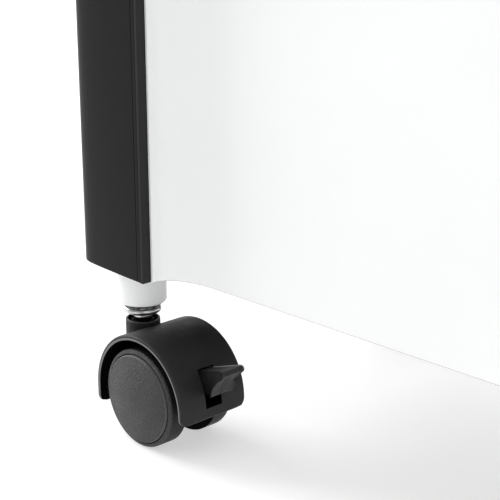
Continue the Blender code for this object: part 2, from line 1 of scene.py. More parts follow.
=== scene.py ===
"""Looks of the oil filled radiator heater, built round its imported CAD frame.

Lengths in the shape code are millimetres, in the CAD's own frame, and new_piece() turns them
into metres. Bump distances and texture scales in the materials are in metres.
"""

import math

import bmesh
import bpy
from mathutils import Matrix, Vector


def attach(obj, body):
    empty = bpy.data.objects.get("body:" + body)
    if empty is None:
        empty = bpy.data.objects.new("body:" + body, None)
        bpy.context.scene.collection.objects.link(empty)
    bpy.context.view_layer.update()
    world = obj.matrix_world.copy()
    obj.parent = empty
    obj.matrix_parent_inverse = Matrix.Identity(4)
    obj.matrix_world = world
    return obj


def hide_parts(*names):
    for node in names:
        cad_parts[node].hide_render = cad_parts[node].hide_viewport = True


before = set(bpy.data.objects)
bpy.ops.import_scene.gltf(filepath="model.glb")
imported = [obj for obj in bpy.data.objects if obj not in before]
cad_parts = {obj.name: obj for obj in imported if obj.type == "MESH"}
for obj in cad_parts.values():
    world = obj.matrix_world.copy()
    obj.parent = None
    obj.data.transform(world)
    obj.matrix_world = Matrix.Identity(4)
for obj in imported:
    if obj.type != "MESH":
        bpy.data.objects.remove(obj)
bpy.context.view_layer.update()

TO_METRES = 0.001
WELD = 1e-4

# Camera: the photograph's angle, close to the lower left corner of the case
CAMERA_AT = (0.2379, -0.4691, 0.2680)
CAMERA_AZIMUTH = 46.2
CAMERA_PITCH = 16.55
CAMERA_LENS = 86.4
SENSOR = 36.0

# Light: a white world that is dimmer on the camera's side, four soft suns, as (azimuth,
# elevation, strength, spread in degrees), and a faintly lit white table
WORLD_LIGHT = 0.72
WORLD_DIM = 0.32
DIM_FROM = 0.1
DIM_ELEVATION = 5.0
SUNS = {
    "top": (20.0, 80.0, 0.5, 70.0),
    "key": (-80.0, 30.0, 2.8, 35.0),
    "fill": (80.0, 30.0, 0.5, 50.0),
    "back": (-134.0, 20.0, 0.7, 70.0),
}
FLOOR_LIGHT = 0.51
FLOOR_SIZE = 30.0

# The side of the case that each word stands for, along X and along Y
ENDS = {"left": -1, "right": 1}
FACES = {"front": -1, "back": 1}

# Case
HALF_LENGTH = 245.0
HALF_WIDTH = 130.0
CASE_BOTTOM = 89.2
COVER_TOP = 640.0
COVER_WALL = 2.6
COVER_FLOOR = 3.0
COVER_DEPTH = 55.4
COVER_LIP = 120.0
PANEL_Y = 110.0
PANEL_SHEET = 1.2
PANEL_TOP = 638.0
COVE_START_X = 161.7
COVE_LENGTH = 26.3
COVE_DEPTH = 12.6
LIP_X = COVE_START_X + COVE_LENGTH
LIP_END_Y = 125.1
COVE_STEPS = 28
HEM_HALF_X = 155.0
HEM_REACH = {"low": 10.0, "top": 1.5}
GRIP_HALF_Y = 49.0
GRIP_LOW = 572.0
GRIP_HIGH = 602.0
GRIP_RIM = 3.4
GRIP_WALL = 3.0
GRIP_RIB_PITCH = 6.6
SCREW_X = 205.0
SCREW_Y = 60.0
SCREW_HOLE_R = 2.1
GLAND_X = 228.0
GLAND_HOLE_R = 8.5

# Controls, in the top of the right end cover
CONTROL_X = 217.0
SKIRT = COVER_TOP + 0.4
KNOB_Y = -44.0
KNOB_R = 20.0
KNOB_FOOT = 624.0
KNOB_TOP = 658.0
KNOB_HOLE_R = 4.6
KNOB_FLUTES = 36
DIAL_MARKS = 11
DIAL_START = 225.0
DIAL_STEP = 27.0
SWITCH_YS = {"low": 8.0, "high": 40.0}
SWITCH_FOOT = 614.0
SWITCH_WINDOW = (11.8, 7.2)
SWITCH_BODY = (11.4, 6.8)
SWITCH_BEZEL = (13.4, 8.8)
SWITCH_WELL = (9.9, 5.2)
ROCKER_PIVOT_Z = 636.0
ROCKER_HALF_Y = 4.8
ROCKER_TIP = math.radians(8.0)
LENS_Y = 68.0
LENS_FOOT = 628.0
LENS_HOLE_R = 4.5

# Casters
STEM_X = 221.5
STEM_Y = 105.0
STEM_R = 4.0
STEM_HOLE_R = 4.6
COLLAR_R = 12.6
COLLAR_LOW = 67.6
BOSS_TOP = 106.0
TRAIL = 20.2
WHEEL_R = 25.4
WHEEL_INNER = 9.6
WHEEL_RIM = 20.6
WHEEL_SHOULDER = 1.5
WHEEL_CROWN = 3.1
AXLE_HALF = 18.0
AXLE_BORE_R = 3.15
HOOD_CENTRE = (TRAIL + 0.4, 24.7)
HOOD_R = 33.7
HOOD_WALL = 2.8
HOOD_HALF_WIDTH = 21.2
HOOD_WEB = 8.2
HOOD_CORNER = 4.4
HOOD_LIP = 0.8
HOOD_FRONT_LOW = 20.2
HOOD_REAR_LOW = 13.8
NECK_R = 8.9
NECK_TOP = 58.6
SLOT_HALF = 5.2
SLOT_LOW = 26.0
SLOT_HIGH = 44.7
LEVER_HALF = 4.1
LEVER_ROOT_R = 26.4
LEVER_RIBS = 9
LEVER_RIB_PITCH = 1.42

# Face material numbers, each list in the order of the piece's looks
PAINTED_SHADE_UNDERSIDE = 1
PAINTED_LIGHT_COVER_SIDE, PAINTED_HIGHLIGHT_RIDGE = 1, 2
PAINTED_SHADE_INSIDE, PAINTED_HIGHLIGHT_RIM, PAINTED_SHADE_NECK, PAINTED_HIGHLIGHT_NECK_RIM = 1, 2, 3, 4
PAINTED_SHADE_TREAD, PAINTED_HIGHLIGHT_LIP = 2, 3
PAINTED_SHADE_SIDE, PAINTED_HIGHLIGHT_EDGE = 1, 2
PAINTED_SHADE_BAND = 1
HOOD_LOOKS = ["hood", "hood_painted_shade", "hood_painted_highlight_rim", "neck", "neck_painted_highlight_rim"]
WHEEL_LOOKS = ["wheel", "hood_painted_shade", "tread", "wheel_painted_highlight_lip"]
LEVER_LOOKS = ["lever", "lever_painted_shade_side", "lever_painted_highlight"]


# Camera and light -----------------------------------------------------------


def aim(azimuth, elevation):
    """The direction from the heater towards a place; azimuth 0 is in front, on the -Y side."""
    a, e = math.radians(azimuth), math.radians(elevation)
    return Vector((math.sin(a) * math.cos(e), -math.cos(a) * math.cos(e), math.sin(e)))


def make_camera():
    """The photograph's camera, which looks down at the corner from in front and to the right."""
    data = bpy.data.cameras.new("camera")
    data.lens = CAMERA_LENS
    data.sensor_width = SENSOR
    data.clip_start = 0.01
    data.clip_end = 100.0
    cam = bpy.data.objects.new("camera", data)
    bpy.context.scene.collection.objects.link(cam)
    cam.location = CAMERA_AT
    back = aim(CAMERA_AZIMUTH, CAMERA_PITCH)
    cam.rotation_mode = "QUATERNION"
    cam.rotation_quaternion = (-back).to_track_quat("-Z", "Y")
    bpy.context.scene.camera = cam


def soft_sun(name, azimuth, elevation, strength, spread):
    """A distant soft lamp; azimuth and elevation point from the scene towards it."""
    data = bpy.data.lights.new(name, "SUN")
    data.energy = strength
    data.angle = math.radians(spread)
    lamp = bpy.data.objects.new(name, data)
    bpy.context.scene.collection.objects.link(lamp)
    lamp.rotation_mode = "QUATERNION"
    lamp.rotation_quaternion = (-aim(azimuth, elevation)).to_track_quat("-Z", "Y")


def make_light():
    """Four suns, and a world that fades from WORLD_LIGHT to WORLD_DIM on the camera's side."""
    scene = bpy.context.scene
    scene.view_settings.view_transform = "Standard"
    scene.view_settings.look = "None"
    world = bpy.data.worlds.new("studio")
    world.use_nodes = True
    back = world.node_tree.nodes["Background"]
    back.inputs["Color"].default_value = (1.0, 1.0, 1.0, 1.0)
    nodes, links = world.node_tree.nodes, world.node_tree.links
    facing = nodes.new("ShaderNodeVectorMath")
    facing.operation = "DOT_PRODUCT"
    facing.inputs[1].default_value = aim(CAMERA_AZIMUTH, DIM_ELEVATION)
    links.new(nodes.new("ShaderNodeTexCoord").outputs["Generated"], facing.inputs[0])
    dim = nodes.new("ShaderNodeMapRange")
    dim.interpolation_type = "SMOOTHSTEP"
    dim.inputs["From Min"].default_value = DIM_FROM
    dim.inputs["From Max"].default_value = 1.0
    dim.inputs["To Min"].default_value = WORLD_LIGHT
    dim.inputs["To Max"].default_value = WORLD_DIM
    links.new(facing.outputs["Value"], dim.inputs["Value"])
    links.new(dim.outputs["Result"], back.inputs["Strength"])
    scene.world = world
    for name, sun in SUNS.items():
        soft_sun(name, *sun)


# Materials ------------------------------------------------------------------


class Nodes:
    """A material's node tree, with short calls for the nodes used here."""

    def __init__(self, name):
        self.material = bpy.data.materials.new(name)
        self.material.use_nodes = True
        self.tree = self.material.node_tree
        self.shader = self.tree.nodes["Principled BSDF"]
        self.place = self.tree.nodes.new("ShaderNodeTexCoord").outputs["Object"]

    def link(self, out, into):
        self.tree.links.new(out, into)

    def set(self, **values):
        for key, value in values.items():
            self.shader.inputs[key.replace("_", " ")].default_value = value

    def stretched(self, scale):
        node = self.tree.nodes.new("ShaderNodeMapping")
        node.inputs["Scale"].default_value = scale
        self.link(self.place, node.inputs["Vector"])
        return node.outputs["Vector"]

    def noise(self, scale, detail=3.0, roughness=0.55, vector=None):
        node = self.tree.nodes.new("ShaderNodeTexNoise")
        node.inputs["Scale"].default_value = scale
        node.inputs["Detail"].default_value = detail
        node.inputs["Roughness"].default_value = roughness
        self.link(vector or self.place, node.inputs["Vector"])
        return node.outputs["Fac"]

    def cells(self, scale, feature="F1", vector=None):
        node = self.tree.nodes.new("ShaderNodeTexVoronoi")
        node.feature = feature
        node.inputs["Scale"].default_value = scale
        self.link(vector or self.place, node.inputs["Vector"])
        return node.outputs["Distance"]

    def span(self, fac, low, high, from_low=0.3, from_high=0.7):
        node = self.tree.nodes.new("ShaderNodeMapRange")
        node.inputs["From Min"].default_value = from_low
        node.inputs["From Max"].default_value = from_high
        node.inputs["To Min"].default_value = low
        node.inputs["To Max"].default_value = high
        self.link(fac, node.inputs["Value"])
        return node.outputs["Result"]

    def blend(self, fac, one, two):
        node = self.tree.nodes.new("ShaderNodeMix")
        node.data_type = "RGBA"
        self.link(fac, node.inputs["Factor"])
        node.inputs["A"].default_value = (*one, 1.0)
        node.inputs["B"].default_value = (*two, 1.0)
        return node.outputs["Result"]

    def total(self, one, two, share):
        """one + share x two."""
        node = self.tree.nodes.new("ShaderNodeMath")
        node.operation = "MULTIPLY_ADD"
        self.link(two, node.inputs[0])
        node.inputs[1].default_value = share
        self.link(one, node.inputs[2])
        return node.outputs["Value"]

    def bump(self, height, strength, distance):
        node = self.tree.nodes.new("ShaderNodeBump")
        node.inputs["Strength"].default_value = strength
        node.inputs["Distance"].default_value = distance
        self.link(height, node.inputs["Height"])
        self.link(node.outputs["Normal"], self.shader.inputs["Normal"])

    def colour(self, out):
        self.link(out, self.shader.inputs["Base Color"])

    def roughness(self, out):
        self.link(out, self.shader.inputs["Roughness"])


def white_enamel(name, bright):
    m = Nodes(name)
    cloud = m.noise(9.0, 4.0)
    one = tuple(bright * c for c in (0.845, 0.85, 0.853))
    two = tuple(bright * c for c in (0.87, 0.875, 0.877))
    m.colour(m.blend(m.span(cloud, 0.0, 1.0), one, two))
    m.roughness(m.span(m.noise(60.0, 3.0), 0.34, 0.44))
    m.bump(m.total(m.noise(700.0, 2.0), m.noise(140.0, 2.0), 1.6), 0.05, 0.0004)
    m.set(Coat_Weight=0.25, Coat_Roughness=0.12)
    return m.material


def gloss_black(name, tone):
    m = Nodes(name)
    cloud = m.noise(14.0, 5.0)
    one = tuple(tone * c for c in (0.0135, 0.0135, 0.014))
    two = tuple(tone * c for c in (0.0155, 0.0155, 0.016))
    m.colour(m.blend(m.span(cloud, 0.0, 1.0), one, two))
    m.roughness(m.span(m.noise(50.0, 4.0, 0.6), 0.27, 0.33))
    m.bump(m.total(m.noise(1100.0, 2.0), m.noise(300.0, 2.0), 0.6), 0.03, 0.0003)
    m.set(Specular_IOR_Level=0.04)
    return m.material


def grained_nylon(name, grain, depth, tone, shine):
    """Moulded black nylon with a leather grain: rounded cells with fine pitting."""
    m = Nodes(name)
    warped = m.tree.nodes.new("ShaderNodeVectorMath")
    warped.operation = "MULTIPLY_ADD"
    swirl = m.tree.nodes.new("ShaderNodeTexNoise")
    swirl.inputs["Scale"].default_value = grain * 0.3
    m.link(m.place, swirl.inputs["Vector"])
    m.link(swirl.outputs["Color"], warped.inputs[0])
    warped.inputs[1].default_value = (0.0006, 0.0006, 0.0006)
    m.link(m.place, warped.inputs[2])
    cells = m.cells(grain, "SMOOTH_F1", warped.outputs["Vector"])
    pits = m.noise(grain * 0.8, 4.0, 0.65)
    height = m.total(cells, pits, 0.9)
    one = tuple(tone * c for c in (0.034, 0.034, 0.036))
    two = tuple(tone * c for c in (0.05, 0.05, 0.052))
    m.colour(m.blend(m.span(m.total(cells, m.noise(40.0, 4.0), 0.8), 0.0, 1.0, 0.4, 1.1), one, two))
    m.roughness(m.span(m.noise(120.0, 4.0), 0.48, 0.62))
    m.bump(height, depth, 0.0006)
    m.set(Specular_IOR_Level=shine)
    return m.material


def bright_zinc(name, tone=1.0):
    m = Nodes(name)
    rings = m.noise(60.0, 4.0, 0.6, m.stretched((1.0, 1.0, 60.0)))
    one = tuple(tone * tone * c for c in (0.62, 0.63, 0.65))
    two = tuple(min(1.0, 1.6 * tone) * c for c in (0.8, 0.8, 0.81))
    m.colour(m.blend(m.span(m.noise(300.0, 3.0), 0.0, 1.0), one, two))
    m.roughness(m.span(rings, 0.14, 0.34))
    m.bump(rings, 0.12, 0.0002)
    m.set(Metallic=1.0)
    return m.material


def rolled_steel(name):
    m = Nodes(name)
    grain = m.noise(220.0, 5.0, 0.6, m.stretched((1.0, 0.04, 1.0)))
    m.colour(m.blend(m.span(m.noise(25.0, 5.0), 0.0, 1.0), (0.36, 0.37, 0.38), (0.52, 0.53, 0.54)))
    m.roughness(m.span(grain, 0.3, 0.5))
    m.bump(grain, 0.15, 0.0002)
    m.set(Metallic=1.0)
    return m.material


def core_paint(name):
    m = Nodes(name)
    m.colour(m.blend(m.span(m.noise(18.0, 5.0), 0.0, 1.0), (0.5, 0.5, 0.49), (0.58, 0.58, 0.56)))
    m.roughness(m.span(m.noise(90.0, 3.0), 0.42, 0.6))
    m.bump(m.noise(500.0, 3.0), 0.12, 0.0004)
    return m.material


def turned_brass(name):
    m = Nodes(name)
    rings = m.noise(80.0, 4.0, 0.6, m.stretched((20.0, 1.0, 1.0)))
    m.colour(m.blend(m.span(m.noise(60.0, 4.0), 0.0, 1.0), (0.58, 0.4, 0.16), (0.75, 0.56, 0.28)))
    m.roughness(m.span(rings, 0.2, 0.38))
    m.bump(rings, 0.1, 0.0002)
    m.set(Metallic=1.0)
    return m.material


def insulating_plastic(name):
    m = Nodes(name)
    m.colour(m.blend(m.span(m.noise(35.0, 4.0), 0.0, 1.0), (0.6, 0.56, 0.46), (0.7, 0.66, 0.56)))
    m.roughness(m.span(m.noise(140.0, 3.0), 0.45, 0.6))
    m.bump(m.noise(900.0, 3.0), 0.12, 0.0003)
    return m.material


def lens_red(name):
    m = Nodes(name)
    tint = m.span(m.noise(400.0, 2.0), 0.0, 1.0)
    m.colour(m.blend(tint, (0.5, 0.012, 0.008), (0.62, 0.03, 0.02)))
    m.roughness(m.span(m.noise(200.0, 2.0), 0.05, 0.14))
    m.bump(m.cells(900.0), 0.15, 0.0003)
    m.set(Transmission_Weight=0.45, IOR=1.49)
    return m.material


def print_white(name):
    m = Nodes(name)
    m.colour(m.blend(m.span(m.noise(600.0, 3.0), 0.0, 1.0), (0.62, 0.62, 0.62), (0.78, 0.78, 0.78)))
    m.roughness(m.span(m.noise(300.0, 2.0), 0.4, 0.55))
    m.bump(m.noise(1500.0, 2.0), 0.1, 0.0002)
    return m.material


def floor_sweep(name):
    m = Nodes(name)
    m.colour(m.blend(m.span(m.noise(1.5, 3.0), 0.0, 1.0), (0.57, 0.57, 0.57), (0.6, 0.6, 0.6)))
    m.roughness(m.span(m.noise(40.0, 3.0), 0.55, 0.65))
    m.set(Specular_IOR_Level=0.1)
    m.set(Emission_Color=(1.0, 1.0, 1.0, 1.0), Emission_Strength=FLOOR_LIGHT)
    return m.material


# Enamel, gloss and zinc are given their tone, and nylon its grain, bump depth, tone and shine
MATERIALS = {
    "white_steel": white_enamel("white_steel_enamel", 1.02),
    # A lighter copy of the white enamel for the leg collars: painted light against the shade under
    # the case
    "collar": white_enamel("collar_painted_light_enamel", 1.12),
    "black_gloss": gloss_black("black_gloss_cover", 0.7),
    # A lighter copy of the cover's gloss for its band beside the panels: painted light
    "black_painted_light_side": gloss_black("black_gloss_painted_light_side", 2.1),
    # A still lighter copy of the gloss for the ridge line: painted highlight
    "black_painted_highlight_ridge": gloss_black("black_gloss_painted_highlight_ridge", 3.0),
    "hood": grained_nylon("hood_nylon", 2400.0, 0.3, 0.44, 0.24),
    # A near-black copy of the nylon for hollows, the slot's cheeks, the wheels' inner faces, their
    # crease and the centre body: painted shade
    "hood_painted_shade": grained_nylon("hood_painted_shade_nylon", 1600.0, 0.3, 0.03, 0.02),
    # A much lighter copy of the hood's nylon for the rolled rims' inner edge: painted highlight
    "hood_painted_highlight_rim": grained_nylon("hood_painted_highlight_rim_nylon", 2600.0, 0.2, 3.6, 0.5),
    "wheel": grained_nylon("wheel_nylon", 1250.0, 1.0, 0.86, 0.4),
    # A lighter copy of the wheel's nylon for the dome's lip: painted highlight
    "wheel_painted_highlight_lip": grained_nylon("wheel_painted_highlight_lip_nylon", 2000.0, 0.4, 1.7, 0.5),
    # The tread's own finer grain, and a darker tone that is painted shade for its band under the
    # hood
    "tread": grained_nylon("tread_painted_shade_nylon", 2600.0, 0.2, 0.32, 0.22),
    "lever": grained_nylon("lever_nylon", 2300.0, 0.3, 0.75, 0.3),
    # A much darker copy of the lever's nylon for its flat sides: painted shade
    "lever_painted_shade_side": grained_nylon("lever_painted_shade_side_nylon", 1300.0, 1.0, 0.16, 0.2),
    # A very light copy of the lever's nylon for its top bevels: painted highlight
    "lever_painted_highlight": grained_nylon("lever_painted_highlight_nylon", 2300.0, 0.3, 5.0, 0.5),
    # A darker copy of the hood's nylon for the neck's outer wall: painted shade
    "neck": grained_nylon("neck_painted_shade_nylon", 1300.0, 0.6, 0.1, 0.36),
    # A lighter copy of the nylon for the neck's top rim: painted highlight
    "neck_painted_highlight_rim": grained_nylon("neck_painted_highlight_rim_nylon", 1300.0, 0.6, 1.2, 0.4),
    # A darker copy of the white enamel for the panels' downward faces: painted shade under the
    # sheet's foot
    "painted_shade_edge": white_enamel("painted_shade_edge_enamel", 0.4),
    "black_matte": grained_nylon("trim_nylon", 1800.0, 0.35, 0.4, 0.25),
    "zinc": bright_zinc("bright_zinc"),
    "zinc_ring": bright_zinc("bright_zinc_ring", 0.8),
    # A dark copy of the zinc for bands on the stem's ring: painted shade
    "zinc_painted_shade": bright_zinc("painted_shade_zinc_ring", 0.16),
    "steel": rolled_steel("rolled_steel"),
    "core_paint": core_paint("core_enamel"),
    "brass": turned_brass("turned_brass"),
    "cream_plastic": insulating_plastic("insulating_plastic"),
    "red_lens": lens_red("red_lens"),
    "print_white": print_white("print_white"),
}


# Mesh helpers ---------------------------------------------------------------


def outward(mesh):
    """The mesh with every face turned to point out of the solid."""
    bmesh.ops.recalc_face_normals(mesh, faces=mesh.faces)
    if mesh.calc_volume(signed=True) < 0.0:
        bmesh.ops.reverse_faces(mesh, faces=mesh.faces)
    return mesh


def placed(axis, across, along, depth):
    """A point from its two coordinates across an axis and its place along it."""
    return {
        "X": (depth, across, along),
        "Y": (across, depth, along),
        "Z": (across, along, depth),
    }[axis]


def prism(outline, low, high, axis="Z", bevel=0.0, segments=3):
    """A closed extrusion of a plane outline; bevel rounds the edges of both ends."""
    mesh = bmesh.new()
    ends = []
    for depth in (low, high):
        loop = [mesh.verts.new(placed(axis, a, b, depth)) for a, b in outline]
        ends.append(mesh.faces.new(loop))
    first, last = ends[0].verts, ends[1].verts
    for i in range(len(outline)):
        j = (i + 1) % len(outline)
        mesh.faces.new((first[i], first[j], last[j], last[i]))
    outward(mesh)
    if bevel:
        edges = {edge for end in ends for edge in end.edges}
        bmesh.ops.bevel(
            mesh, geom=list(edges), offset=bevel, segments=segments, profile=0.5, affect="EDGES"
        )
    return mesh


def box(x, y, z, round_by=0.0):
    """A box from its (low, high) range on each axis; round_by rounds all its edges."""
    outline = [(x[0], y[0]), (x[1], y[0]), (x[1], y[1]), (x[0], y[1])]
    mesh = prism(outline, z[0], z[1])
    if round_by:
        bmesh.ops.bevel(
            mesh, geom=mesh.edges[:], offset=round_by, segments=3, profile=0.5, affect="EDGES"
        )
    return mesh


def block(x, y, half, z, round_by=0.0):
    """A box centred on (x, y), from its half sizes along X and Y and its (low, high) heights."""
    return box((x - half[0], x + half[0]), (y - half[1], y + half[1]), z, round_by)


def circle(centre, radius, steps, start, turn=360.0):
    """Points of an arc; start and turn are in degrees, and a full turn isn't closed twice."""
    count = steps if turn == 360.0 else steps + 1
    angles = [math.radians(start + turn * i / steps) for i in range(count)]
    return [
        (centre[0] + radius * math.cos(a), centre[1] + radius * math.sin(a)) for a in angles
    ]


def rod(radius, low, high, centre, steps=48):
    """An upright round bar."""
    return prism(circle(centre, radius, steps, -90.0), low, high)


def lathe(profile, centre=(0.0, 0.0), axis="Z", steps=72):
    """A solid turned from (radius, place along the axis) points; radius 0 closes on the axis."""
    mesh = bmesh.new()
    rings = []
    for radius, depth in profile:
        if radius == 0.0:
            rings.append([mesh.verts.new(placed(axis, *centre, depth))])
            continue
        ring = circle(centre, radius, steps, -90.0)
        rings.append([mesh.verts.new(placed(axis, a, b, depth)) for a, b in ring])
    for one, two in zip(rings, rings[1:] + rings[:1]):
        if len(one) == 1 and len(two) == 1:
            continue
        for i in range(steps):
            j = (i + 1) % steps
            corners = [one[i % len(one)], one[j % len(one)]]
            corners += [two[j % len(two)], two[i % len(two)]]
            mesh.faces.new(list(dict.fromkeys(corners)))
    return outward(mesh)


def merged(meshes):
    """Several meshes held in one, without joining their surfaces."""
    whole = bmesh.new()
    for mesh in meshes:
        data = bpy.data.meshes.new("tool")
        mesh.to_mesh(data)
        whole.from_mesh(data)
        mesh.free()
        bpy.data.meshes.remove(data)
    return whole


def raw_object(name, mesh):
    data = bpy.data.meshes.new(name)
    mesh.to_mesh(data)
    mesh.free()
    made = bpy.data.objects.new(name, data)
    bpy.context.scene.collection.objects.link(made)
    return made


def combined(base, steps):
    """The base mesh after each (operation, mesh) in turn, as a new mesh."""
    body = raw_object("body", base)
    for operation, mesh in steps:
        tool = raw_object("tool", mesh)
        change = body.modifiers.new("change", "BOOLEAN")
        change.operation = operation
        change.solver = "EXACT"
        change.object = tool
        bpy.context.view_layer.update()
        graph = bpy.context.evaluated_depsgraph_get()
        after = bpy.data.meshes.new_from_object(body.evaluated_get(graph))
        body.modifiers.clear()
        body.data = after
        bpy.data.objects.remove(tool, do_unlink=True)
    result = bmesh.new()
    result.from_mesh(body.data)
    bmesh.ops.remove_doubles(result, verts=result.verts, dist=WELD)
    bpy.data.objects.remove(body, do_unlink=True)
    return result


def moved(mesh, flip, x, y):
    """The mesh turned half a turn about Z when flip is -1, then carried to (x, y)."""
    for vert in mesh.verts:
        vert.co.x = x + flip * vert.co.x
        vert.co.y = y + flip * vert.co.y
    return mesh


def new_piece(name, mesh, look, body, nodes, smooth=35.0):
    """A finished piece on a CAD body, in place of some CAD nodes. The mesh is in millimetres.

    look is one material's name, or a list of names that the mesh's face material numbers pick from.
    """
    for vert in mesh.verts:
        vert.co *= TO_METRES
    made = raw_object(name, mesh)
    for each in [look] if isinstance(look, str) else look:
        made.data.materials.append(MATERIALS[each])
    if smooth:
        made.data.shade_smooth()
        made.data.set_sharp_from_angle(angle=math.radians(smooth))
    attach(made, body)
    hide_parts(*nodes)
    return made


def soften(obj, width):
    """A small rounding on every sharp edge; width is in millimetres."""
    edge = obj.modifiers.new("edge", "BEVEL")
    edge.width = width * TO_METRES
    edge.segments = 2
    edge.limit_method = "ANGLE"
    edge.angle_limit = math.radians(40.0)


# Case -----------------------------------------------------------------------


def panel_path():
    """The outer surface of the -Y side panel in plan, from its left lip to its right lip."""
    left = [(-LIP_X, -LIP_END_Y)]
    cove_y = -PANEL_Y - COVE_DEPTH
    for i in range(COVE_STEPS + 1):
        turn = math.pi / 2 * i / COVE_STEPS
        x = -COVE_START_X - COVE_LENGTH * math.cos(turn)
        left.append((x, cove_y + COVE_DEPTH * math.sin(turn)))
    return left + [(-x, y) for x, y in reversed(left)]


def inward(path, distance):
    """The path moved towards the inside of the case."""
    shifted = []
    for i, (x, y) in enumerate(path):
        before, after = path[max(i - 1, 0)], path[min(i + 1, len(path) - 1)]
        run = math.hypot(after[0] - before[0], after[1] - before[1])
        nx, ny = -(after[1] - before[1]) / run, (after[0] - before[0]) / run
        shifted.append((x + nx * distance, y + ny * distance))
    return shifted


def side_panel(name, side):
    """A coved steel sheet with a hem along its foot and its top."""
    path = panel_path()
    outline = path + inward(path, PANEL_SHEET)[::-1]
    sheet = prism(outline, CASE_BOTTOM, PANEL_TOP, bevel=0.35, segments=2)
    # Faces that point down get the darker enamel: painted shade along the sheet's foot
    for face in sheet.faces:
        if face.normal.z < -0.3:
            face.material_index = PAINTED_SHADE_UNDERSIDE
    hems = []
    for z, reach in ((CASE_BOTTOM + 0.2, HEM_REACH["low"]), (PANEL_TOP - 1.4, HEM_REACH["top"])):
        hem_y = (-PANEL_Y + PANEL_SHEET / 2, -PANEL_Y + reach)
        hems.append(box((-HEM_HALF_X, HEM_HALF_X), hem_y, (z, z + PANEL_SHEET)))
    whole = merged([sheet] + hems)
    if side > 0:
        for vert in whole.verts:
            vert.co.y *= -1.0
        bmesh.ops.reverse_faces(whole, faces=whole.faces)
    looks = ["white_steel", "painted_shade_edge"]
    new_piece(name + "_sheet", whole, looks, "heater", [name], 22.0)


def cover_outline():
    """Half of the outer outline, as (distance from the end, distance from the middle).

    It has a fine groove near the inner edge and a soft crown towards the end.
    """
    half = [(COVER_DEPTH, COVER_LIP), (COVER_DEPTH, HALF_WIDTH - 0.75)]
    half += [(COVER_DEPTH - 0.2, HALF_WIDTH - 0.3), (COVER_DEPTH - 0.6, HALF_WIDTH - 0.06)]
    half += [(COVER_DEPTH - 1.1, HALF_WIDTH)]
    half += [(51.5, HALF_WIDTH - 0.3), (51.15, HALF_WIDTH - 0.72), (50.8, HALF_WIDTH - 0.38)]
    crown = [(44.0, 0.72), (38.0, 1.05), (32.0, 1.4), (26.0, 1.78), (20.0, 2.2)]
    crown += [(14.0, 2.7), (10.0, 3.15), (7.0, 3.7), (5.2, 4.25), (3.8, 4.9), (2.6, 5.8)]
    crown += [(1.6, 7.0), (0.8, 8.6), (0.25, 10.3), (0.0, 12.2)]
    return half + [(d, HALF_WIDTH - y) for d, y in crown]


def cover_cavity():
    """Half of the hollow's outline, in the same terms; it is open towards the panels."""
    half = [(COVER_DEPTH + 6.0, COVER_LIP), (COVER_DEPTH - COVER_WALL, COVER_LIP)]
    half.append((COVER_DEPTH - COVER_WALL, HALF_WIDTH - 3.4))
    inner = [(32.0, 4.1), (15.6, 5.4), (7.6, 6.8), (4.8, 8.4), (2.8, 11.0), (2.6, 14.0)]
    half += [(depth, HALF_WIDTH - y) for depth, y in inner]
    return half


def both_halves(half, side):
    """The plan outline of an end piece on the side -1 or +1, from its half outline."""
    points = [(side * (HALF_LENGTH - d), -y) for d, y in half]
    return points + [(x, -y) for x, y in reversed(points)]


def cover_holes(side):
    """Cutters for the stems, screws and grip, and on the right side for controls and gland."""
    floor = (CASE_BOTTOM - 5.0, CASE_BOTTOM + COVER_FLOOR + 2.0)
    holes = [rod(STEM_HOLE_R, *floor, (side * STEM_X, y)) for y in (-STEM_Y, STEM_Y)]
    for y in (-SCREW_Y, SCREW_Y):
        holes.append(rod(SCREW_HOLE_R, *floor, (side * SCREW_X, y), steps=24))
    wall = sorted((side * (HALF_LENGTH + 5.0), side * (HALF_LENGTH - 5.0)))
    holes.append(box(wall, (-GRIP_HALF_Y, GRIP_HALF_Y), (GRIP_LOW, GRIP_HIGH)))
    if side > 0:
        top = (COVER_TOP - 10.0, COVER_TOP + 5.0)
        holes.append(rod(KNOB_HOLE_R, *top, (CONTROL_X, KNOB_Y)))
        holes.append(rod(LENS_HOLE_R, *top, (CONTROL_X, LENS_Y)))
        for y in SWITCH_YS.values():
            holes.append(block(CONTROL_X, y, SWITCH_WINDOW, top))
        holes.append(rod(GLAND_HOLE_R, *floor, (GLAND_X, 0.0)))
    return merged(holes)


def end_cover(name, side):
    """A hollow gloss cover, with its own looks on the faces beside the panels and on the ridge."""
    solid = prism(
        both_halves(cover_outline(), side), CASE_BOTTOM, COVER_TOP, bevel=0.9, segments=4
    )
    hollow = prism(
        both_halves(cover_cavity(), side),
        CASE_BOTTOM + COVER_FLOOR,
        COVER_TOP - COVER_FLOOR - 0.2,
    )
    whole = combined(solid, [("DIFFERENCE", hollow), ("DIFFERENCE", cover_holes(side))])
    whole.normal_update()
    for face in whole.faces:
        middle = face.calc_center_median()
        depth = HALF_LENGTH - abs(middle.x)
        # The band beside the panels gets the lighter gloss copy: painted light
        if depth > COVER_DEPTH - 0.15:
            face.material_index = PAINTED_LIGHT_COVER_SIDE
        # The fine ridge line gets the lightest gloss copy: painted highlight
        elif depth > COVER_DEPTH - 1.2 and abs(middle.y) > HALF_WIDTH - 0.9:
            face.material_index = PAINTED_HIGHLIGHT_RIDGE
    looks = ["black_gloss", "black_painted_light_side", "black_painted_highlight_ridge"]
    new_piece(name + "_shell", whole, looks, "heater", [name], 28.0)


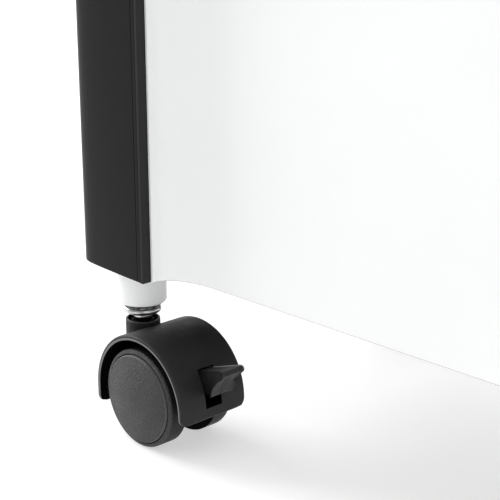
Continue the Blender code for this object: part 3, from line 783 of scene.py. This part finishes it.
def grip_cup(name, side):
    """The finger pocket, with a rolled mouth and ribs across its floor."""
    end = side * HALF_LENGTH

    def span(near, far):
        return sorted((end - side * near, end - side * far))

    def ring(grow):
        half = GRIP_HALF_Y + grow
        return (-half, half), (GRIP_LOW - grow, GRIP_HIGH + grow)

    tub = box(span(0.0, 24.0), *ring(-0.4))
    rim = box(span(3.0, 5.4), *ring(GRIP_RIM))
    pocket = box(span(-4.0, 22.0), *ring(-GRIP_WALL))
    whole = combined(tub, [("UNION", rim), ("DIFFERENCE", pocket)])
    ribs = []
    rib_z = (GRIP_LOW + 2.6, GRIP_LOW + 3.8)
    for k in range(-6, 7):
        y = k * GRIP_RIB_PITCH
        ribs.append(box(span(4.0, 22.4), (y - 0.7, y + 0.7), rib_z, 0.3))
    whole = merged([whole] + ribs)
    made = new_piece(
        name + "_pocket", whole, "black_matte", "heater", [name], 0.0
    )
    soften(made, 0.5)


# Controls -------------------------------------------------------------------


def knob():
    """A turned knob with a fluted side, a finger bar and a pointer line."""
    profile = [(0.0, KNOB_FOOT), (3.0, KNOB_FOOT), (3.0, SKIRT), (KNOB_R - 0.4, SKIRT)]
    side = [(0.0, 0.4), (0.0, 2.6), (0.3, 3.3), (1.0, 3.9), (2.6, 4.3), (3.1, 5.2), (4.0, 12.2)]
    side += [(4.5, 13.3), (5.6, 14.0), (8.0, 14.2)]
    profile += [(KNOB_R - inset, SKIRT + rise) for inset, rise in side]
    profile += [(0.0, SKIRT + 14.2)]
    body = lathe(profile, steps=144)
    for vert in body.verts:
        r = math.hypot(vert.co.x, vert.co.y)
        if vert.co.z > SKIRT + 4.6 and r > KNOB_R - 5.0:
            around = math.atan2(vert.co.y, vert.co.x)
            dip = 0.28 * max(0.0, math.cos(KNOB_FLUTES * around))
            vert.co.x *= (r - dip) / r
            vert.co.y *= (r - dip) / r
    bar = box((-2.5, 2.5), (-14.0, 14.0), (SKIRT + 10.0, KNOB_TOP), 0.9)
    whole = moved(merged([body, bar]), 1, CONTROL_X, KNOB_Y)
    new_piece("thermostat_dial", whole, "black_gloss", "knob", ["thermostat_knob"])
    line = box((-0.7, 0.7), (6.0, 13.2), (KNOB_TOP - 0.6, KNOB_TOP - 0.05), 0.2)
    mark = moved(line, -1, CONTROL_X, KNOB_Y)
    new_piece("thermostat_pointer", mark, "print_white", "knob", [])


def dial_scale():
    """Plain bars round the knob, longer and wider from low heat to high."""
    ticks = []
    for k in range(DIAL_MARKS):
        a = math.radians(DIAL_START - DIAL_STEP * k)
        near, far, half = 21.6, 23.0 + 0.14 * k, 0.35 + 0.05 * k
        tick = box((near, far), (-half, half), (COVER_TOP - 0.05, COVER_TOP + 0.12))
        for vert in tick.verts:
            x, y = vert.co.x, vert.co.y
            vert.co.x = CONTROL_X + x * math.cos(a) - y * math.sin(a)
            vert.co.y = KNOB_Y + x * math.sin(a) + y * math.cos(a)
        ticks.append(tick)
    new_piece("dial_scale", merged(ticks), "print_white", "heater", [], 0.0)


def switch(tag, y):
    """A rocker switch in its frame; the rocker rests tipped to its off side."""
    x = CONTROL_X
    body = block(x, y, SWITCH_BODY, (SWITCH_FOOT, SKIRT + 0.8))
    bezel = block(x, y, SWITCH_BEZEL, (SKIRT, SKIRT + 1.4), 0.5)
    well = block(x, y, SWITCH_WELL, (628.0, SKIRT + 4.0))
    whole = combined(body, [("UNION", bezel), ("DIFFERENCE", well)])
    new_piece(
        f"switch_frame_{tag}", whole, "black_matte", "heater",
        [f"switch_housing_{tag}"],
    )
    shape = [(-8.5, 7.0), (-8.2, 5.6), (-6.0, -1.0), (0.0, -3.0), (6.0, -1.0), (8.2, 5.6)]
    shape += [(8.5, 7.0), (6.5, 6.3), (4.5, 5.7), (2.2, 5.2), (0.0, 5.0), (-2.2, 5.2)]
    shape += [(-4.5, 5.7), (-6.5, 6.3)]

    def tipped(a, b):
        c, s = math.cos(ROCKER_TIP), math.sin(ROCKER_TIP)
        return x + a * c + b * s, ROCKER_PIVOT_Z - a * s + b * c

    turned = [tipped(a, b) for a, b in shape]
    rocker = prism(turned, y - ROCKER_HALF_Y, y + ROCKER_HALF_Y, "Y", bevel=0.4)
    new_piece(
        f"rocker_key_{tag}", rocker, "black_gloss", f"rocker_{tag}",
        [f"switch_rocker_{tag}"],
    )
    centre_x, centre_z = tipped(5.2, 5.93)
    lean = ROCKER_TIP - math.atan2(0.7, 4.0) * 0.9
    ring = lathe([(1.0, -0.1), (1.5, -0.1), (1.5, 0.12), (1.0, 0.12)], steps=28)
    for vert in ring.verts:
        a, b, up = vert.co
        vert.co = (centre_x + a * math.cos(lean), y + b, centre_z + up - a * math.sin(lean))
    new_piece(f"rocker_mark_{tag}", ring, "print_white", f"rocker_{tag}", [])


def lens():
    """The pilot light's domed red lens."""
    profile = [(0.0, LENS_FOOT), (4.0, LENS_FOOT), (4.0, SKIRT)]
    profile += [(5.3, SKIRT), (5.6, SKIRT + 0.3)]
    for k in range(9):
        a = math.radians(10.0 * k + 5.0)
        profile.append((5.5 * math.cos(a), SKIRT + 0.5 + 2.2 * math.sin(a)))
    profile.append((0.0, SKIRT + 2.7))
    new_piece(
        "pilot_lens", lathe(profile, (CONTROL_X, LENS_Y), steps=48), "red_lens", "heater",
        ["indicator_lens"],
    )


# Casters --------------------------------------------------------------------


def hood_section(pull):
    """The hood's wall across its width, as (y, depth in from the outer skin).

    pull draws its two rims in towards the middle.
    """
    rim, wall = HOOD_HALF_WIDTH - pull, HOOD_WALL
    outer = [(rim, 1.5), (rim - 0.1, 1.0), (rim - 0.35, 0.5), (rim - 0.75, 0.16), (rim - 1.3, 0.0)]
    inner = [(rim, wall - 0.7), (rim - 0.2, wall - 0.25), (rim - 0.7, wall)]
    section = [(-y, d) for y, d in outer] + [(-14.0, 0.0), (-SLOT_HALF, 0.0)]
    section += [(SLOT_HALF, 0.0), (14.0, 0.0)] + outer[::-1] + inner
    section += [(14.0, wall), (SLOT_HALF, wall), (-SLOT_HALF, wall), (-14.0, wall)]
    return section + [(-y, d) for y, d in inner[::-1]]


def hood_stations():
    """Points of the hood's outer skin in side view, from rear lip over the top to front skirt."""
    middle_x, middle_z = HOOD_CENTRE
    places = []
    for i in range(9):
        z = HOOD_REAR_LOW + (middle_z - HOOD_REAR_LOW) * i / 9
        places.append((middle_x - HOOD_R, z, math.pi))
    for i in range(73):
        a = math.pi * (1.0 - i / 72)
        places.append((middle_x + HOOD_R * math.cos(a), middle_z + HOOD_R * math.sin(a), a))
    for i in range(1, 7):
        z = middle_z - (middle_z - HOOD_FRONT_LOW) * i / 6
        places.append((middle_x + HOOD_R, z, 0.0))
    front = [k for k, place in enumerate(places) if place[0] > middle_x]
    top = min(front, key=lambda k: abs(places[k][1] - SLOT_HIGH))
    low = min(front, key=lambda k: abs(places[k][1] - SLOT_LOW))
    for k, z in ((top, SLOT_HIGH), (low, SLOT_LOW)):
        a = math.asin((z - middle_z) / HOOD_R)
        places[k] = (middle_x + HOOD_R * math.cos(a), z, a)
    return places, top, low


def hood_rows(mesh, places):
    """One ring of the wall's section at each station; rims draw in at the rounded corners."""
    lengths = [0.0]
    for one, two in zip(places, places[1:]):
        lengths.append(lengths[-1] + math.hypot(two[0] - one[0], two[1] - one[1]))
    rows = []
    for (x, z, a), run in zip(places, lengths):
        end = min(run, lengths[-1] - run)
        missing = HOOD_CORNER - min(end, HOOD_CORNER)
        pull = HOOD_CORNER - math.sqrt(HOOD_CORNER**2 - missing**2)
        thin = 0.8 * max(0.0, 1.0 - end / HOOD_LIP) ** 2
        row = []
        for y, depth in hood_section(pull):
            d = depth + thin * (1.0 - 2.0 * depth / HOOD_WALL)
            row.append(mesh.verts.new((x - d * math.cos(a), y, z - d * math.sin(a))))
        rows.append(row)
    return rows


def mark_hood(mesh, rows, section):
    """The inner side and the slot's cheeks get the inside's look, and the rolled rims their own."""
    depths = {vert: section[k][1] for row in rows for k, vert in enumerate(row)}
    for face in mesh.faces:
        least = min(depths[vert] for vert in face.verts)
        most = max(depths[vert] for vert in face.verts)
        # The inner side and the slot's cheeks get the near-black nylon: painted shade
        if least > HOOD_WALL - 0.3 or (least == 0.0 and most == HOOD_WALL and len(face.verts) == 4):
            face.material_index = PAINTED_SHADE_INSIDE
        # The rolled rims' inner edge gets the light nylon: a painted highlight line
        elif least > HOOD_WALL - 1.4 and abs(face.calc_center_median().y) > HOOD_HALF_WIDTH - 1.0:
            face.material_index = PAINTED_HIGHLIGHT_RIM


def hood_shell():
    """The hood as one swept wall with rolled rims, rounded corners and the lever's slot."""
    places, top, low = hood_stations()
    mesh = bmesh.new()
    rows = hood_rows(mesh, places)
    section = hood_section(0.0)
    count = len(section)
    slot_edge = [k for k, (y, d) in enumerate(section) if abs(abs(y) - SLOT_HALF) < 1e-6]
    left, right, right_in, left_in = slot_edge
    for i in range(len(rows) - 1):
        in_slot = top <= i < low
        for k in range(count):
            m = (k + 1) % count
            if in_slot and k in (left, right_in):
                continue
            mesh.faces.new((rows[i][k], rows[i][m], rows[i + 1][m], rows[i + 1][k]))
        if in_slot:
            for k, m in ((left, left_in), (right, right_in)):
                mesh.faces.new((rows[i][k], rows[i][m], rows[i + 1][m], rows[i + 1][k]))
    for i in (top, low):
        mesh.faces.new([rows[i][k] for k in slot_edge])
    mesh.faces.new(rows[0])
    mesh.faces.new(rows[-1])
    outward(mesh)
    mark_hood(mesh, rows, section)
    return mesh


def hood_neck():
    """The neck: a socket with a hub for the stem, its foot following the hood's round top."""
    profile = [(NECK_R, 34.0), (NECK_R, NECK_TOP - 0.5), (NECK_R - 0.15, NECK_TOP - 0.15)]
    profile += [(NECK_R - 0.5, NECK_TOP), (7.9, NECK_TOP), (7.7, NECK_TOP - 0.2)]
    profile += [(7.6, NECK_TOP - 0.6), (7.5, NECK_TOP - 3.2), (6.3, NECK_TOP - 3.2)]
    profile += [(6.1, NECK_TOP - 1.0), (5.6, NECK_TOP - 0.6), (4.8, NECK_TOP - 0.6)]
    profile += [(4.8, NECK_TOP - 8.6), (0.0, NECK_TOP - 8.6), (0.0, 47.0)]
    neck = lathe(profile)
    middle_x, middle_z = HOOD_CENTRE
    for vert in neck.verts:
        if vert.co.z < 48.0:
            under = (HOOD_R - 1.0) ** 2 - (middle_x - vert.co.x) ** 2
            vert.co.z = middle_z + math.sqrt(max(under, 100.0))
    for face in neck.faces:
        middle = face.calc_center_median()
        # Inside the neck's socket: near-black painted shade
        if math.hypot(middle.x, middle.y) < 7.85:
            face.material_index = PAINTED_SHADE_INSIDE
        # The neck's top rim gets the lighter nylon: a painted highlight line
        elif middle.z > NECK_TOP - 0.45:
            face.material_index = PAINTED_HIGHLIGHT_NECK_RIM
        # The neck's outer wall gets the darker nylon: painted shade
        else:
            face.material_index = PAINTED_SHADE_NECK
    return neck


def hood_web():
    """The centre body between the wheels, with a closed pocket behind the lever's slot."""
    middle_x, middle_z = HOOD_CENTRE
    outline = circle(HOOD_CENTRE, HOOD_R - 1.5, 60, 184.0, -188.0)
    outline += circle((TRAIL, WHEEL_R), 21.0, 24, -22.0, -136.0)
    body = prism(outline, -HOOD_WEB, HOOD_WEB, "Y", bevel=0.6, segments=3)
    pocket = box(
        (TRAIL + 18.6, middle_x + HOOD_R + 5.0), (-SLOT_HALF, SLOT_HALF), (SLOT_LOW, SLOT_HIGH)
    )
    whole = combined(body, [("DIFFERENCE", pocket)])
    # The whole centre body gets the near-black nylon: painted shade between the wheels
    for face in whole.faces:
        face.material_index = PAINTED_SHADE_INSIDE
    return whole


def wheel_mesh(side):
    """A wheel with a tread, a shoulder band, a crease and a shallow domed face."""
    bore, rim, r = AXLE_BORE_R, WHEEL_RIM, WHEEL_R
    profile = [(bore, WHEEL_INNER), (8.0, WHEEL_INNER), (9.0, WHEEL_INNER + 1.5)]
    profile += [(20.0, WHEEL_INNER + 1.5), (21.0, WHEEL_INNER), (r - 1.0, WHEEL_INNER)]
    for k in range(5):
        a = math.radians(90.0 * k / 4)
        profile.append((r - 1.0 + math.sin(a), WHEEL_INNER + 1.0 - math.cos(a)))
    profile += [(r, 10.0), (r, rim - WHEEL_SHOULDER)]
    for k in range(1, 8):
        a = math.radians(84.0 * k / 7)
        drop = WHEEL_SHOULDER * (1.0 - math.cos(a))
        profile.append((r - drop, rim - WHEEL_SHOULDER * (1.0 - math.sin(a))))
    profile += [(r - 2.15, rim + 0.02), (r - 2.25, rim - 0.35), (r - 2.6, rim - 0.35)]
    edge, lip, crown = r - 2.65, 1.3, 1.55
    for k in range(6):
        a = math.radians(90.0 * k / 5)
        profile.append((edge - lip * (1.0 - math.cos(a)), rim - 0.1 + crown * math.sin(a)))
    flat, face = edge - lip, rim - 0.1 + crown
    for k in range(1, 15):
        radius = flat * (1.0 - k / 14)
        profile.append((radius, face + WHEEL_CROWN * (1.0 - (radius / flat) ** 2)))
    profile += [(0.0, AXLE_HALF + 0.4), (bore, AXLE_HALF + 0.4)]
    turned = [(a, side * b) for a, b in profile]
    wheel = lathe(turned, (TRAIL, WHEEL_R), "Y", 112)
    for face in wheel.faces:
        middle = face.calc_center_median()
        out = math.hypot(middle.x - TRAIL, middle.z - WHEEL_R)
        # The wheel's inner face gets the near-black nylon: painted shade
        if side * face.normal.y < -0.5:
            face.material_index = PAINTED_SHADE_INSIDE
        # The tread gets the darker nylon: partly painted shade
        elif out > r - 0.6 and abs(middle.y) < rim - 1.1:
            face.material_index = PAINTED_SHADE_TREAD
        # The crease groove too: a painted shade line
        elif r - 2.66 < out < r - 2.16:
            face.material_index = PAINTED_SHADE_INSIDE
        # The dome's lip facets get the lighter nylon: a painted highlight line
        elif edge - 0.5 < out <= edge:
            face.material_index = PAINTED_HIGHLIGHT_LIP
    return wheel


def lever_side_view():
    """The lever's outline, as (forward of the axle, above the axle, half width there)."""
    half = LEVER_HALF
    side_view = [(x, z, half) for x, z in circle((0.0, 0.0), LEVER_ROOT_R, 8, 13.0, 25.0)]
    side_view += [(29.5, 18.7, half), (31.5, 19.3, half), (35.0, 20.35, 4.8)]
    side_view += [(38.0, 21.3, 5.2), (42.0, 22.6, 5.75), (45.2, 23.6, 6.2), (46.2, 23.85, 6.6)]
    side_view += [(47.0, 23.8, 6.8), (47.7, 23.4, 6.9), (48.0, 22.7, 6.9), (47.9, 21.9, 6.8)]
    side_view += [(47.3, 21.3, 6.5), (46.4, 20.4, 6.4), (44.6, 19.0, 6.8), (42.7, 17.0, 7.3)]
    side_view += [(41.2, 14.8, 7.6), (40.2, 12.0, 7.7), (39.7, 9.8, 7.4), (39.4, 8.9, 7.2)]
    return side_view + [(38.6, 8.5, 6.6), (36.5, 8.55, 5.4), (34.9, 8.6, half), (31.0, 8.0, half)]


def lever_rows(mesh):
    """The outline at levels across the width, drawn in at the sides and dished in front."""
    side_view = lever_side_view()
    count = len(side_view)
    rows = []
    for level in (-1.0, -0.93, -0.5, -0.07, 0.0, 0.07, 0.5, 0.93, 1.0):
        draw = 0.5 if abs(level) == 1.0 else 0.0
        row = []
        for k, (x, z, width) in enumerate(side_view):
            before, after = side_view[k - 1], side_view[(k + 1) % count]
            run = math.hypot(after[0] - before[0], after[1] - before[1])
            nx, nz = (after[1] - before[1]) / run, -(after[0] - before[0]) / run
            dish = 0.5 * (1.0 - level**2) + (0.4 if level == 0.0 else 0.0)
            dish = dish if 8.7 < z < 20.5 and x > 39.0 else 0.0
            spot = (TRAIL + x - nx * draw - dish, level * width, WHEEL_R + z - nz * draw)
            row.append(mesh.verts.new(spot))
        rows.append(row)
    return rows


def lever_mesh():
    """The raised brake pedal: a flared wedge with a dished front under a thick ribbed lip."""
    mesh = bmesh.new()
    rows = lever_rows(mesh)
    count = len(rows[0])
    for one, two in zip(rows, rows[1:]):
        for k in range(count):
            m = (k + 1) % count
            mesh.faces.new((one[k], one[m], two[m], two[k]))
    # The two flat sides get the darker nylon: painted shade
    for row in (rows[0], rows[-1]):
        mesh.faces.new(row).material_index = PAINTED_SHADE_SIDE
    outward(mesh)
    # Bevel faces turned up along the top edges get the very light nylon: painted highlight
    for face in mesh.faces:
        out = face.calc_center_median().x - TRAIL
        turned = abs(face.normal.y) > 0.2 and face.normal.z > 0.2
        if turned and len(face.verts) == 4 and out > 29.0:
            face.material_index = PAINTED_HIGHLIGHT_EDGE
    ribs = []
    rib_x, rib_z = (TRAIL + 46.6, TRAIL + 48.45), (WHEEL_R + 21.7, WHEEL_R + 24.05)
    for k in range(LEVER_RIBS):
        y = LEVER_RIB_PITCH * (k - LEVER_RIBS // 2)
        ribs.append(box(rib_x, (y - 0.34, y + 0.34), rib_z, 0.18))
    return merged([mesh] + ribs)


def stem_mesh():
    """The stem, with a small nut above the hood's neck and a rounded ring under the leg collar."""
    top = COLLAR_LOW - 0.7
    profile = [(0.0, NECK_TOP - 8.5), (3.6, NECK_TOP - 8.5)]
    profile += [(STEM_R, NECK_TOP - 8.1), (STEM_R, NECK_TOP), (4.5, NECK_TOP + 0.5)]
    rings = [(4.5, -7.4), (5.0, -7.1), (5.1, -6.2), (4.9, -5.7), (4.3, -5.5), (4.3, -4.9)]
    rings += [(8.2, -4.8), (9.0, -4.55), (9.5, -4.1), (9.8, -3.45)]
    rings += [(9.85, -2.8), (9.75, -2.2), (9.5, -1.85), (9.15, -1.7), (9.1, -1.6), (9.4, -1.5)]
    rings += [(9.45, -0.6), (9.25, -0.2), (8.7, 0.0), (7.0, 0.0), (STEM_R, 0.0)]
    profile += [(radius, top + rise) for radius, rise in rings]
    profile += [(STEM_R, BOSS_TOP + 0.6), (STEM_R - 0.5, BOSS_TOP + 1.0), (0.0, BOSS_TOP + 1.0)]
    stem = lathe(profile)
    # The ring's top band under the collar and a thin line at its underside get the dark zinc:
    # painted shade
    for face in stem.faces:
        rise = face.calc_center_median().z - top
        if rise > -1.75 or -5.0 < rise < -4.6:
            face.material_index = PAINTED_SHADE_BAND
    return stem


def collar_mesh():
    """The white tube between case and stem, rounded at its foot."""
    bore, top = STEM_R + 0.4, CASE_BOTTOM - 0.4
    profile = [(bore, COLLAR_LOW + 0.6), (8.0, COLLAR_LOW + 0.6), (8.4, COLLAR_LOW)]
    for k in range(8):
        a = math.radians(-90.0 + 90.0 * k / 7)
        profile.append((COLLAR_R - 2.0 + 2.0 * math.cos(a), COLLAR_LOW + 2.0 + 2.0 * math.sin(a)))
    profile += [(COLLAR_R, top - 0.4), (COLLAR_R - 0.3, top), (bore, top)]
    return lathe(profile, steps=96)


def caster(end, face, end_side, face_side):
    """One leg with its caster; the wheels trail towards the middle of the heater."""
    x, y, flip = end_side * STEM_X, face_side * STEM_Y, -end_side
    tag = f"{end}_{face}"
    new_piece(
        f"collar_tube_{tag}", moved(collar_mesh(), 1, x, y), "collar", "heater",
        [f"leg_collar_{tag}"],
    )
    new_piece(
        f"threaded_stem_{tag}", moved(stem_mesh(), 1, x, y), ["zinc_ring", "zinc_painted_shade"], "heater",
        [f"caster_stem_{tag}"], 50.0,
    )
    hood = moved(merged([hood_shell(), hood_neck(), hood_web()]), flip, x, y)
    new_piece(
        f"caster_housing_{tag}", hood, HOOD_LOOKS, f"caster_{tag}",
        [f"caster_hood_{tag}"], 40.0,
    )
    for where, side in (("outer", face_side), ("inner", -face_side)):
        wheel = moved(wheel_mesh(side * flip), flip, x, y)
        new_piece(
            f"wheel_disc_{tag}_{where}", wheel, WHEEL_LOOKS, f"wheel_{tag}_{where}",
            [f"caster_wheel_{tag}_{where}"], 30.0,
        )
    lever = moved(lever_mesh(), flip, x, y)
    new_piece(
        f"brake_pedal_{tag}", lever, LEVER_LOOKS, f"brake_{tag}",
        [f"brake_lever_{tag}"], 32.0,
    )


# Build ----------------------------------------------------------------------

make_camera()
make_light()

for face_name, face_sign in FACES.items():
    side_panel(f"side_panel_{face_name}", face_sign)
for end_name, end_sign in ENDS.items():
    end_cover(f"end_cover_{end_name}", end_sign)
    grip_cup(f"grip_cup_{end_name}", end_sign)
knob()
dial_scale()
for switch_tag, switch_y in SWITCH_YS.items():
    switch(switch_tag, switch_y)
lens()
for end_name, end_sign in ENDS.items():
    for face_name, face_sign in FACES.items():
        caster(end_name, face_name, end_sign, face_sign)

# CAD nodes that keep their own mesh: the material, and the width that its edges are softened by
KEPT = {
    "top_grille": ("white_steel", 0.5),
    "foot_plate_left": ("steel", 0.3),
    "foot_plate_right": ("steel", 0.3),
    "core_bracket_left": ("steel", 0.3),
    "core_bracket_right": ("steel", 0.3),
    "oil_core": ("core_paint", 1.5),
    "heating_element": ("zinc", 0.0),
    "element_flange": ("brass", 0.4),
    "oil_filler_plug": ("brass", 0.4),
    "thermal_cutout": ("zinc", 0.3),
    "terminal_block": ("cream_plastic", 0.5),
    "tip_over_switch": ("cream_plastic", 0.8),
    "thermostat": ("cream_plastic", 0.8),
    "cord_gland": ("black_matte", 0.3),
}
for end_name in ENDS:
    for face_name in FACES:
        KEPT[f"cover_screw_{end_name}_{face_name}"] = ("zinc", 0.15)
        KEPT[f"caster_axle_{end_name}_{face_name}"] = ("steel", 0.3)
for node, (look, width) in KEPT.items():
    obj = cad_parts[node]
    obj.data.materials.clear()
    obj.data.materials.append(MATERIALS[look])
    if width:
        soften(obj, width)

floor_mesh = bmesh.new()
bmesh.ops.create_grid(floor_mesh, x_segments=8, y_segments=8, size=FLOOR_SIZE)
floor = raw_object("floor", floor_mesh)
floor.data.materials.append(floor_sweep("floor_sweep"))
